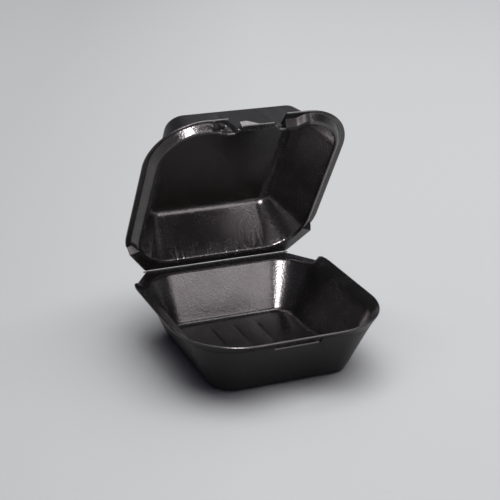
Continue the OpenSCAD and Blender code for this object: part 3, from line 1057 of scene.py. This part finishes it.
def seen_ray(tree):
    """1 for what the camera sees, directly or in a gloss or a glass, and 0 for the light that is shed."""
    path = node(tree, "ShaderNodeLightPath")
    seen = math_node(tree, "MAXIMUM", path.outputs["Is Camera Ray"], path.outputs["Is Glossy Ray"])
    return math_node(tree, "MAXIMUM", seen, path.outputs["Is Transmission Ray"])


def mix_shaders(tree, factor, first, second, output):
    mix = node(tree, "ShaderNodeMixShader")
    for source, socket in zip((factor, first, second), mix.inputs):
        tree.links.new(source, socket)
    tree.links.new(mix.outputs[0], tree.nodes[output].inputs["Surface"])


def table_material():
    material = bpy.data.materials.new("pale_table")
    material.use_nodes = True
    tree = material.node_tree
    shader = tree.nodes["Principled BSDF"]
    shader.inputs["Roughness"].default_value = 0.9
    shader.inputs["Specular IOR Level"].default_value = 0.1
    where = node(tree, "ShaderNodeTexCoord").outputs["Object"]
    slope = node(tree, "ShaderNodeVectorMath", operation="DOT_PRODUCT")
    slope.inputs[1].default_value = PAINTED_SHADE_SLOPE
    tree.links.new(where, slope.inputs[0])
    # Painted shade: the base colour darkens along the slope, to the left and towards the back.
    tone = node(tree, "ShaderNodeMix", data_type="RGBA")
    tone.inputs["A"].default_value = (*TABLE_PAINTED_SHADE, 1)
    tone.inputs["B"].default_value = (*TABLE_PAINTED_LIT, 1)
    tree.links.new(math_node(tree, "ADD", slope.outputs["Value"], 1.0), tone.inputs["Factor"])
    tree.links.new(tone.outputs["Result"], shader.inputs["Base Color"])
    away = node(tree, "ShaderNodeVectorMath", operation="LENGTH")
    tree.links.new(where, away.inputs[0])
    glow = node(tree, "ShaderNodeEmission")
    glow.inputs["Color"].default_value = (*PALE, 1)
    far = graded(tree, away.outputs["Value"], *TABLE_FADE, 0.0, 1.0)
    far = math_node(tree, "MULTIPLY", seen_ray(tree), far)
    mix_shaders(tree, far, shader.outputs[0], glow.outputs[0], "Material Output")
    return material


def make_table():
    half = TABLE_SIZE / 2
    corners = [(-half, -half, 0), (half, -half, 0), (half, half, 0), (-half, half, 0)]
    mesh = bpy.data.meshes.new("table")
    mesh.from_pydata(corners, [], [(0, 1, 2, 3)])
    mesh.materials.append(table_material())
    table = bpy.data.objects.new("table", mesh)
    bpy.context.collection.objects.link(table)


make_table()
print(f"table: {TABLE_SIZE:.1f} m wide")

# %% [markdown]
# Near the horizon the world is a pale backdrop for what the camera sees and for reflections, so a low view
# has a background too. Higher up, and for the light that it sheds on the table, the world is dark. A pale
# world all round would be simpler, but it would fill the shadow with light.

# %% World
ROOM = (0.028, 0.028, 0.05)
BACKDROP_FADE = (0.08, 0.30)


def make_world():
    world = bpy.data.worlds.new("studio")
    bpy.context.scene.world = world
    world.use_nodes = True
    tree = world.node_tree
    shown = tree.nodes["Background"]
    shown.inputs["Color"].default_value = (*PALE, 1)
    room = node(tree, "ShaderNodeBackground")
    room.inputs["Color"].default_value = (*ROOM, 1)
    way = node(tree, "ShaderNodeSeparateXYZ")
    tree.links.new(node(tree, "ShaderNodeTexCoord").outputs["Generated"], way.inputs[0])
    low = graded(tree, way.outputs["Z"], *BACKDROP_FADE, 1.0, 0.0)
    low = math_node(tree, "MULTIPLY", seen_ray(tree), low)
    mix_shaders(tree, low, room.outputs[0], shown.outputs[0], "World Output")
    print("world:", len(tree.nodes), "nodes")


make_world()

# %% [markdown]
# The lights follow the gleams in the photograph. A soft key near the camera makes the white line in the
# tray's back corner and on the lid's ridge. A large soft panel at the front right gives the satin on the
# back walls. Both could light the table too, but there they would thin out its shadow, so by light linking
# they light only the container. A wide panel overhead lights the table and spreads the shadow.

# %% Lights
AIM = np.array([0.0, 0.0, 0.06])
WARM = (1.0, 0.96, 0.97)
WHITE = (1.0, 1.0, 1.0)


def bearing(azimuth, elevation):
    """The direction at an azimuth, from the front to the right, and an elevation, in degrees."""
    a, e = math.radians(azimuth), math.radians(elevation)
    return np.array([math.sin(a) * math.cos(e), -math.cos(a) * math.cos(e), math.sin(e)])


shells_only = bpy.data.collections.new("lit_by_front_panels")
for shell in (tray_shell, lid_shell):
    shells_only.objects.link(shell)


def soft_panel(name, azimuth, elevation, distance, size, watts, colour, receivers=None):
    light = bpy.data.lights.new(name, "AREA")
    light.shape = "RECTANGLE"
    light.size, light.size_y = size
    light.energy = watts
    light.color = colour
    lamp = bpy.data.objects.new(name, light)
    bpy.context.collection.objects.link(lamp)
    way = Vector(bearing(azimuth, elevation))
    lamp.location = Vector(AIM) + way * distance
    lamp.rotation_euler = way.to_track_quat("Z", "Y").to_euler()
    if receivers:
        lamp.light_linking.receiver_collection = receivers
    print(f"{name}: {watts} W")


soft_panel("key", azimuth=-17, elevation=25, distance=3.0, size=(0.62, 1.1), watts=108, colour=WARM,
           receivers=shells_only)
soft_panel("front_right", azimuth=25, elevation=20, distance=3.0, size=(1.3, 1.3), watts=18, colour=WARM,
           receivers=shells_only)
soft_panel("overhead", azimuth=120, elevation=80, distance=2.6, size=(3.4, 3.2), watts=130, colour=WHITE)

# %% [markdown]
# The camera stands where the photograph was taken from. It could be matched by eye, but it was solved from
# the photograph's straight edges, which give its bearing, its distance, its lens and a slight roll.

# %% Camera
FOCAL_PX = 1297.75
IMAGE_PX = 500
SENSOR = 36.0
FAR_CLIP = 50
CAMERA_AZIMUTH = -24.19
CAMERA_ELEVATION = 22.37
CAMERA_ROLL = math.radians(1.59)
CAMERA_DISTANCE = 887.77 * MM
CAMERA_AIM = np.array([-0.41, 12.50, 70.34]) * MM


def make_camera():
    data = bpy.data.cameras.new("camera")
    data.sensor_width = SENSOR
    data.lens = FOCAL_PX * SENSOR / IMAGE_PX
    data.clip_end = FAR_CLIP
    camera = bpy.data.objects.new("camera", data)
    bpy.context.collection.objects.link(camera)
    way = Vector(bearing(CAMERA_AZIMUTH, CAMERA_ELEVATION))
    camera.location = Vector(CAMERA_AIM) + way * CAMERA_DISTANCE
    turn = way.to_track_quat("Z", "Y").to_matrix()
    spin = Vector((0, 0, 1))
    camera.rotation_euler = (turn @ turn.Rotation(CAMERA_ROLL, 3, spin)).to_euler()
    bpy.context.scene.camera = camera
    print("camera at", [round(c, 3) for c in camera.location])


make_camera()
bpy.context.scene.view_settings.view_transform = "Standard"
